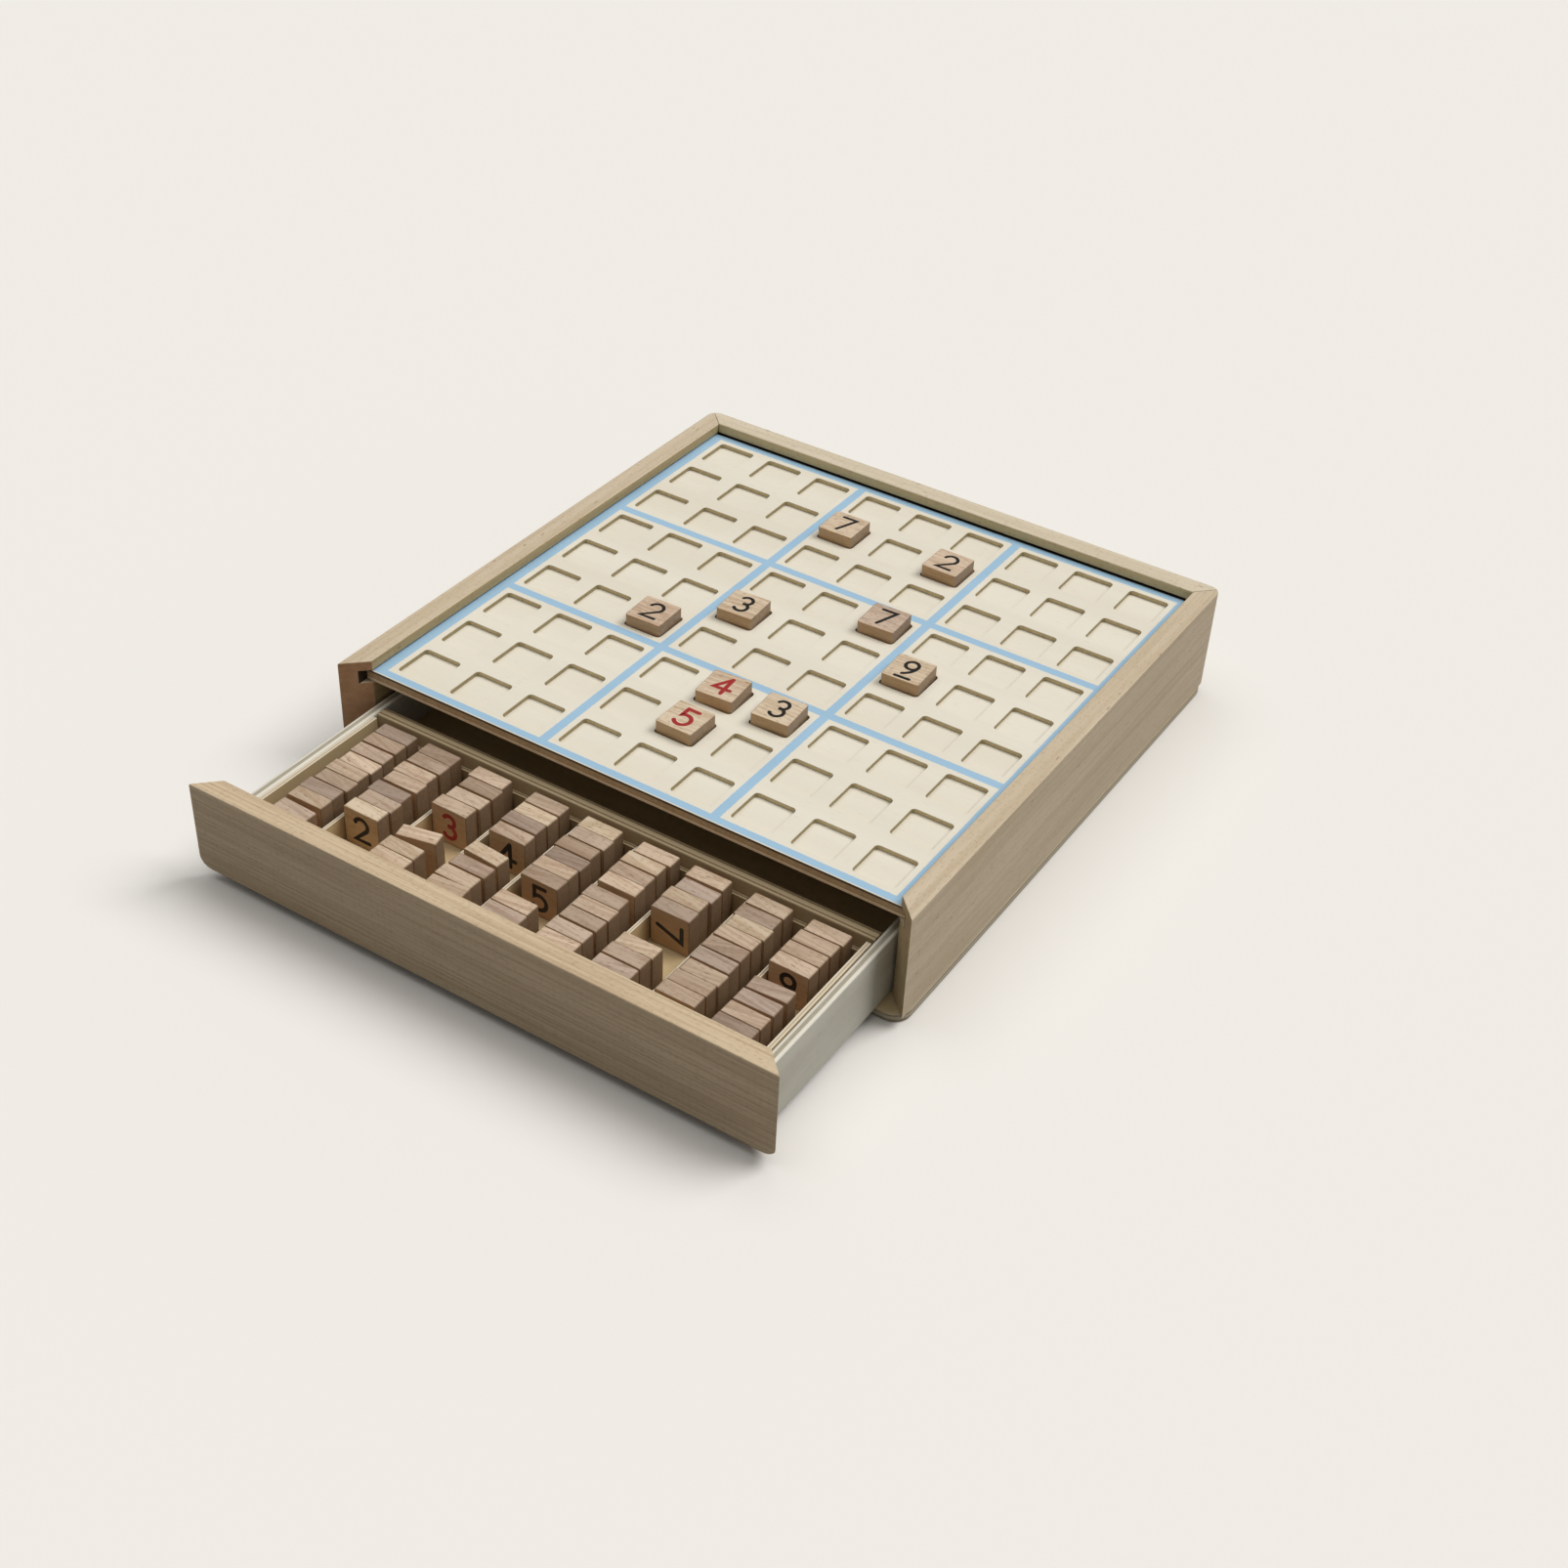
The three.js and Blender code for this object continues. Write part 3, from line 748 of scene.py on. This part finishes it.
# Strengths of the painted warm shade on the tiles' flat faces and long-grain sides, and how far their ends
# show end grain, which is partly painted shade
PLAY_FACES = (0.0, 1.0, 0.75)
STORED_FACES = (0.8, 0.0, 0.9)
# Hues of the tiles in play go up to a limit, but for one that is darker than the others
PLAY_HUE_LIMIT = 0.5
PLAY_HUES = {"tile_7_row6_column6": 0.8}
# Tiles in play whose red side is up
RED_UP = ("tile_4_row3_column5", "tile_5_row2_column5")
# Small turns of the tiles in their recesses, in degrees
PLAY_TURNS = {
    "tile_7_row8_column4": 0.8,
    "tile_2_row8_column6": -0.3,
    "tile_7_row6_column6": 2.9,
    "tile_3_row5_column4": 3.5,
    "tile_9_row5_column7": 2.8,
    "tile_2_row4_column3": 2.0,
    "tile_4_row3_column5": 4.4,
    "tile_3_row3_column6": 4.0,
    "tile_5_row2_column5": -0.9,
}


def make_tile_in_play(node, chance):
    """A tile on the board, with its digit in one ink on top and in the other below."""
    low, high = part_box(node)
    thickness = high.z - low.z
    place = Matrix.Translation((low + high) / 2)
    place = place @ Matrix.Rotation(math.radians(PLAY_TURNS[node]), 4, "Z")
    digit = int(node.split("_")[1])
    inks = ("red", "black") if node in RED_UP else ("black", "red")
    tile = TilePiece(node + "_finished")
    hue = PLAY_HUES.get(node, chance.uniform(0.0, PLAY_HUE_LIMIT))
    tile.tile(place, chance, thickness, (hue, 0.0), PLAY_FACES)
    for ink, face in zip(inks, (top_face(thickness), under_face(thickness))):
        add_digit(tile.mesh, digit, ink, PLAY_STROKES[ink], place @ face)
    tile.finish(node, body_of(node))


# Inks and turns of the digits on the front face of a group, where they show at rest or when it is lifted
FRONT_DIGITS = {
    "stored_2s_rear": ("black", 0),
    "stored_3s_rear": ("red", 0),
    "stored_4s_rear": ("black", 0),
    "stored_5s_rear": ("black", 0),
    "stored_7s_rear": ("black", -90),
    "stored_8s_rear": ("red", 0),
    "stored_9s_rear": ("black", 0),
    "stored_1s_front": ("black", 0),
    "stored_3s_front": ("black", 180),
    "stored_4s_front": ("red", 0),
    "stored_5s_front": ("red", 0),
    "stored_6s_front": ("black", 90),
    "stored_7s_front": ("red", 180),
    "stored_9s_front": ("black", 0),
}
# Tiles that have turned out of line: the turn in degrees and how far back they have moved
TURNED = {
    ("stored_1s_front", 0): (-2, 0.6 * MM),
    ("stored_3s_front", 2): (13, 2.6 * MM),
    ("stored_4s_front", 0): (4, 0.0),
    ("stored_4s_front", 3): (-4, 1.4 * MM),
    ("stored_9s_front", 3): (3, 1.2 * MM),
}
# How far the other stored tiles stray to a side, and turn, in degrees
STACK_SHIFT = 0.7 * MM
STACK_TURN = 0.7
# Slack of each stored tile, the least share of it before a tile, and how uneven the shares are
TILE_SLACK = 0.55 * MM
LEAST_SHARE = 0.08
SHARE_POWER = 3
# Painted shade makes stored tiles darker than those in play, as the drawer is dimmer, some of them much
# darker
SHADE_SPREAD = 0.48
SHADE_POWER = 2


def stack_gaps(count, chance):
    """Gaps before the tiles of a group, which share its slack: most are closed and a few are wide."""
    shares = [LEAST_SHARE + chance.random() ** SHARE_POWER for _ in range(count)]
    return [count * TILE_SLACK * share / sum(shares) for share in shares]


def make_stack(node, chance):
    """A group of stored tiles of one digit, which stand on edge one behind the other."""
    low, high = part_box(node)
    count = round((high.y - low.y) / TILE_THICKNESS)
    thickness = TILE_THICKNESS - TILE_SLACK
    digit = int(node.split("_")[1][0])
    middle = (low + high) / 2
    stack = TilePiece(node + "_finished")
    upright = Matrix.Rotation(math.pi / 2, 4, "X")
    depth = low.y
    for index, gap in enumerate(stack_gaps(count, chance)):
        aside = chance.uniform(-STACK_SHIFT, STACK_SHIFT)
        turn = chance.uniform(-STACK_TURN, STACK_TURN)
        moved = 0.0
        if (node, index) in TURNED:
            aside = 0.0
            turn, moved = TURNED[node, index]
        depth += gap + thickness
        place = Matrix.Translation((middle.x + aside, depth - thickness / 2 + moved, low.z + TILE_SIZE / 2))
        place = place @ Matrix.Rotation(math.radians(turn), 4, "Z") @ upright
        # Painted shade of this tile in the dim drawer
        painted_shade = SHADE_SPREAD * chance.random() ** SHADE_POWER
        stack.tile(place, chance, thickness, (chance.random(), painted_shade), STORED_FACES)
        if index == 0 and node in FRONT_DIGITS:
            ink, spin = FRONT_DIGITS[node]
            face = place @ top_face(thickness) @ Matrix.Rotation(math.radians(spin), 4, "Z")
            add_digit(stack.mesh, digit, ink, STORED_STROKE, face)
        if index == count - 1:
            ink = chance.choice(("black", "red"))
            add_digit(stack.mesh, digit, ink, STORED_STROKE, place @ under_face(thickness))
    stack.finish(node, body_of(node))


TILE_SEED = 81


def make_tiles():
    chance = random.Random(TILE_SEED)
    for node in sorted(frame["nodes"]):
        if node.startswith("tile_"):
            make_tile_in_play(node, chance)
        elif node.startswith("stored_"):
            make_stack(node, chance)


def cell_centre(index):
    """How far a row or column of cells is from the board's middle."""
    block = index // CELLS_PER_BLOCK
    within = index % CELLS_PER_BLOCK
    return (block - 1) * BLOCK_PITCH + (within - 1) * CELL_PITCH


def add_loop(mesh, points, height):
    """Adds a closed loop of edges."""
    verts = [mesh.verts.new((x, y, height)) for x, y in points]
    return [mesh.edges.new((vert, verts[index - 1])) for index, vert in enumerate(verts)]


def make_grid():
    """The playing grid, with finely rounded recesses."""
    low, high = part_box("playing_grid")
    mesh = bmesh.new()
    rim = [(low.x, low.y), (high.x, low.y), (high.x, high.y), (low.x, high.y)]
    edges = add_loop(mesh, rim, high.z)
    half = RECESS_SIZE / 2
    recess = rounded_outline(half, half, RECESS_CORNER, CORNER_STEPS)
    for row in range(CELLS):
        for column in range(CELLS):
            points = [(cell_centre(column) + x, cell_centre(row) + y) for x, y in recess]
            edges += add_loop(mesh, points, high.z)
    bmesh.ops.triangle_fill(mesh, use_beauty=True, use_dissolve=False, edges=edges)
    lowered = bmesh.ops.extrude_face_region(mesh, geom=list(mesh.faces))
    verts = [item for item in lowered["geom"] if isinstance(item, bmesh.types.BMVert)]
    bmesh.ops.translate(mesh, verts=verts, vec=(0, 0, low.z - high.z))
    bmesh.ops.recalc_face_normals(mesh, faces=list(mesh.faces))
    data = bpy.data.meshes.new("grid_sheet")
    mesh.to_mesh(data)
    mesh.free()
    data.materials.append(sheet_material("printed_sheet", printed_top=high.z))
    piece = add_object("grid_sheet", data)
    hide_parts("playing_grid")
    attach(piece, "case")


# Beech: light, dark and character of the wood
RAIL_WOOD = (colour(214, 199, 174), colour(185, 165, 136), RAIL_GRAIN)
BACK_WOOD = (colour(224, 213, 191), colour(196, 181, 154), RAIL_GRAIN)
FRONT_WOOD = (colour(213, 193, 163), colour(180, 156, 124), FRONT_GRAIN)
# Tints of mitred ends, and the painted shade, darker and warmer, on the rails' inner faces
WARM_MITRE = colour(238, 203, 182)
DULL_MITRE = colour(230, 222, 202)
SIDE_INNER_SHADE = colour(218, 213, 186)
BACK_INNER_SHADE = colour(252, 244, 213)
# Beech pieces: grain axis, the part of the wood's pattern they show, their wood, the way that their mitres
# face along Y and their tint, and the axis, way and painted-shade tint of the inner face
BEECH = {
    "left_rail": ("Y", (0.0, 0.3, 0.1), RAIL_WOOD, (-1, WARM_MITRE), ("X", 1, SIDE_INNER_SHADE)),
    "right_rail": ("Y", (1.3, 0.9, 0.4), RAIL_WOOD, (-1, DULL_MITRE), ("X", -1, SIDE_INNER_SHADE)),
    "back_rail": ("X", (2.1, 0.2, 0.8), BACK_WOOD, (-1, DULL_MITRE), ("Y", -1, BACK_INNER_SHADE)),
    "drawer_front": ("X", (3.7, 1.4, 0.5), FRONT_WOOD, (1, DULL_MITRE), None),
}


def dress_beech():
    for node, look in BEECH.items():
        dress(node, beech_material("beech_" + node, *look))


# Finishes of the plywood: light and dark of the face, the core, and the sawn edges
PALE = (colour(213, 211, 199), colour(178, 174, 158), colour(158, 146, 124), colour(232, 226, 213))
BOTTOM = (colour(203, 183, 144), colour(180, 158, 120), colour(128, 118, 100), colour(190, 185, 173))
TAN = (colour(203, 181, 140), colour(180, 156, 116), colour(142, 117, 84), colour(203, 184, 148))
LINING = (colour(200, 178, 138), colour(178, 154, 114), colour(194, 181, 156), colour(228, 220, 205))
DIVIDER = (colour(203, 182, 144), colour(182, 158, 120), colour(168, 150, 122), colour(233, 226, 211))
BROWN = (colour(186, 166, 130), colour(158, 136, 102), colour(112, 90, 62), colour(198, 180, 146))
# Plywood pieces: grain axis, thickness axis, dark cores and finish
PLYWOOD = {
    "case_bottom": ("Y", "Z", 2, BOTTOM),
    "drawer_left_side": ("Y", "X", 1, PALE),
    "drawer_right_side": ("Y", "X", 1, PALE),
    "drawer_back": ("X", "Y", 2, TAN),
    "drawer_floor": ("X", "Z", 1, TAN),
    "tray_cross_wall": ("X", "Y", 2, BROWN),
    "tray_rear_strip": ("X", "Y", 1, BROWN),
    "tray_left_lining": ("Y", "X", 1, LINING),
    "tray_right_lining": ("Y", "X", 1, LINING),
}
PLYWOOD.update({f"divider_{number}": ("Y", "X", 1, DIVIDER) for number in range(1, CELLS)})
PLYWOOD_SEED = 5
PLY_PATTERN_SPAN = 3


def dress_plywood():
    chance = random.Random(PLYWOOD_SEED)
    for node, (along, across, cores, finish) in PLYWOOD.items():
        low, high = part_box(node)
        axis = "XYZ".index(across)
        shift = [chance.uniform(0, PLY_PATTERN_SPAN) for _ in range(3)]
        layers = (along, across, cores, finish, low[axis], high[axis], shift)
        dress(node, plywood_material("ply_" + node, *layers))


FLOOR_SIZE = 80.0
FLOOR_SEEN = colour(238, 236, 232)
FLOOR_SENT_BACK = colour(138, 135, 130)


def make_floor():
    """A plain pale floor. What it sends back to the object is less than what the camera sees."""
    shade = Shade("floor")
    seen = shade.add("BsdfDiffuse", {"Color": FLOOR_SEEN})[0]
    sent_back = shade.add("BsdfDiffuse", {"Color": FLOOR_SENT_BACK})[0]
    path = shade.add("LightPath")
    direct = shade.math("MAXIMUM", path["Is Camera Ray"], path["Is Glossy Ray"])
    both = shade.add("MixShader", {0: direct, 1: sent_back, 2: seen})[0]
    output = shade.tree.nodes["Material Output"]
    shade.tree.links.new(both, output.inputs["Surface"])
    half = FLOOR_SIZE / 2
    data = bpy.data.meshes.new("floor")
    corners = [(-half, -half, 0), (half, -half, 0), (half, half, 0), (-half, half, 0)]
    data.from_pydata(corners, [], [(0, 1, 2, 3)])
    data.materials.append(shade.material)
    floor = add_object("floor", data)


SURROUND_SEEN = colour(238, 236, 230)
SURROUND_LIGHT = (1.0, 0.985, 0.96, 1.0)
SURROUND_STRENGTH = 0.21


def make_surround():
    """Even light from all round, which the camera sees as a pale wall."""
    world = bpy.data.worlds.new("studio")
    world.use_nodes = True
    tree = world.node_tree
    light = tree.nodes["Background"]
    light.inputs["Color"].default_value = SURROUND_LIGHT
    light.inputs["Strength"].default_value = SURROUND_STRENGTH
    wall = add_node(tree, "ShaderNodeBackground", {"Color": SURROUND_SEEN})[0]
    seen = add_node(tree, "ShaderNodeLightPath")["Is Camera Ray"]
    both = add_node(tree, "ShaderNodeMixShader", {0: seen, 1: light.outputs[0], 2: wall})[0]
    tree.links.new(both, tree.nodes["World Output"].inputs["Surface"])
    bpy.context.scene.world = world


# Far, even lights: where they come from, how wide they are in degrees, their strength and tint
SUNS = {
    "key": ((0.75, 0.65, 1.35), 35, 2.0, (1.0, 0.98, 0.95)),
    "top": ((-0.35, 0.1, 1.6), 60, 0.95, (1.0, 0.99, 0.97)),
}


def make_suns():
    for name, (source, spread, strength, tint) in SUNS.items():
        data = bpy.data.lights.new(name, "SUN")
        data.angle = math.radians(spread)
        data.energy = strength
        data.color = tint
        light = add_object(name, data)
        light.location = source
        light.rotation_euler = (-Vector(source)).to_track_quat("-Z", "Y").to_euler()


def make_camera():
    """The camera, from its place, the way it looks and its roll about that way."""
    data = bpy.data.cameras.new("camera")
    data.lens = CAMERA_LENS
    data.sensor_width = SENSOR
    camera = add_object("camera", data)
    ahead = Vector((
        -math.sin(CAMERA_AZIMUTH) * math.cos(CAMERA_ELEVATION),
        math.cos(CAMERA_AZIMUTH) * math.cos(CAMERA_ELEVATION),
        -math.sin(CAMERA_ELEVATION),
    ))
    level = Vector((math.cos(CAMERA_AZIMUTH), math.sin(CAMERA_AZIMUTH), 0))
    down = ahead.cross(level)
    right = math.cos(CAMERA_ROLL) * level + math.sin(CAMERA_ROLL) * down
    up = -(ahead.cross(right))
    turn = Matrix((right, up, -ahead)).transposed()
    camera.matrix_world = Matrix.Translation(CAMERA_PLACE) @ turn.to_4x4()
    bpy.context.scene.camera = camera


dress_beech()
dress("board_base", sheet_material("plain_sheet"))
dress_plywood()
make_grid()
make_tiles()
make_floor()
make_surround()
make_suns()
make_camera()
bpy.context.scene.view_settings.view_transform = "Standard"
